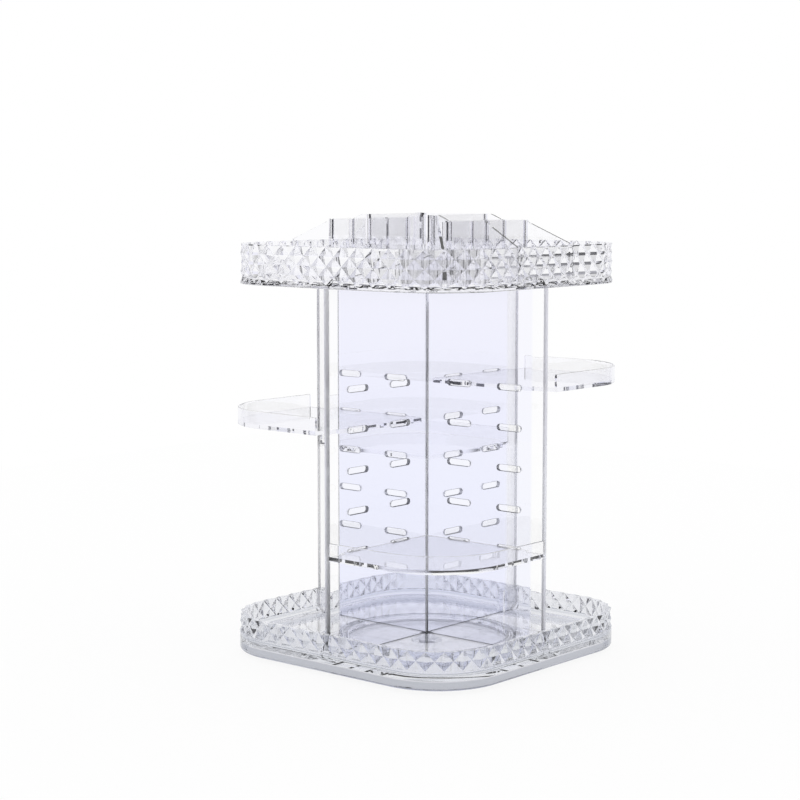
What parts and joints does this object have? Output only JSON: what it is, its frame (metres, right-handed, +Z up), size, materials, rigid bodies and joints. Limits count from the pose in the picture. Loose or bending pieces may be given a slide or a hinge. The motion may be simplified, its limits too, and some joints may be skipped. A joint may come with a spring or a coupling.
{
  "type": "rotating makeup organizer",
  "caption": "Clear turntable organizer: a diamond-cut base tray, crossed slotted plates with quarter shelves at any level, and a divided tray on top.",
  "frame": {"origin": "on the spin axis, on the surface that the pads stand on", "axes": "+Z up the spin axis, +X and +Y along the two partition plates; the front quarter, with the lowest shelf, lies between +X and -Y"},
  "size_m": [0.234, 0.234, 0.333],
  "materials": {
    "clear_moulding": "clear polystyrene, polished mould, diamond-cut facets",
    "clear_plate": "clear polystyrene, polished mould",
    "clear_shelf": "clear polystyrene, polished mould",
    "clear_divider": "clear polystyrene, polished mould",
    "clear_foot": "clear polystyrene, fine-textured mould",
    "silicone_pad": "translucent silicone rubber, matt",
    "steel_ball": "polished bearing steel",
    "cage_plastic": "natural white acetal, moulded",
    "zinc_steel": "bright zinc plate"
  },
  "bodies": {
    "foot": {"foot_disc": "clear_foot", "foot_pads": "silicone_pad"},
    "ball_ring": {"ball_cage": "cage_plastic", "bearing_balls": "steel_ball"},
    "carousel": {"base_tray": "clear_moulding", "pivot_washer": "zinc_steel", "pivot_screw": "zinc_steel", "partition_plate_lower": "clear_plate", "partition_plate_upper": "clear_plate"},
    "shelf_front": {"shelf_tray_front": "clear_shelf"},
    "shelf_right": {"shelf_tray_right": "clear_shelf"},
    "shelf_back": {"shelf_tray_back": "clear_shelf"},
    "shelf_left": {"shelf_tray_left": "clear_shelf"},
    "top_unit": {"top_tray": "clear_moulding", "divider_near": "clear_divider", "divider_far": "clear_divider", "divider_left": "clear_divider", "divider_right": "clear_divider", "divider_front_corner": "clear_divider", "divider_back_corner": "clear_divider", "divider_tier_right_front": "clear_divider", "divider_tier_left_front": "clear_divider", "divider_tier_left_back": "clear_divider", "divider_tier_right_back": "clear_divider"}
  },
  "joints": [
    {"name": "carousel_spin", "type": "hinge", "parent": "foot", "child": "carousel", "pos_m": [0, 0, 0], "axis": [0, 0, 1], "continuous": true},
    {"name": "ball_ring_spin", "type": "hinge", "parent": "foot", "child": "ball_ring", "pos_m": [0, 0, 0], "axis": [0, 0, 1], "continuous": true},
    {"name": "shelf_front_pull", "type": "slide", "parent": "carousel", "child": "shelf_front", "axis": [0.7071, -0.7071, 0], "range_m": [0, 0.145]},
    {"name": "shelf_right_pull", "type": "slide", "parent": "carousel", "child": "shelf_right", "axis": [0.7071, 0.7071, 0], "range_m": [0, 0.145]},
    {"name": "shelf_back_pull", "type": "slide", "parent": "carousel", "child": "shelf_back", "axis": [-0.7071, 0.7071, 0], "range_m": [0, 0.145]},
    {"name": "shelf_left_pull", "type": "slide", "parent": "carousel", "child": "shelf_left", "axis": [-0.7071, -0.7071, 0], "range_m": [0, 0.145]},
    {"name": "top_lift", "type": "slide", "parent": "carousel", "child": "top_unit", "axis": [0, 0, 1], "range_m": [0, 0.06]}
  ],
  "couplings": [
    {"joint": "ball_ring_spin", "follows": "carousel_spin", "ratio": 0.5}
  ]
}
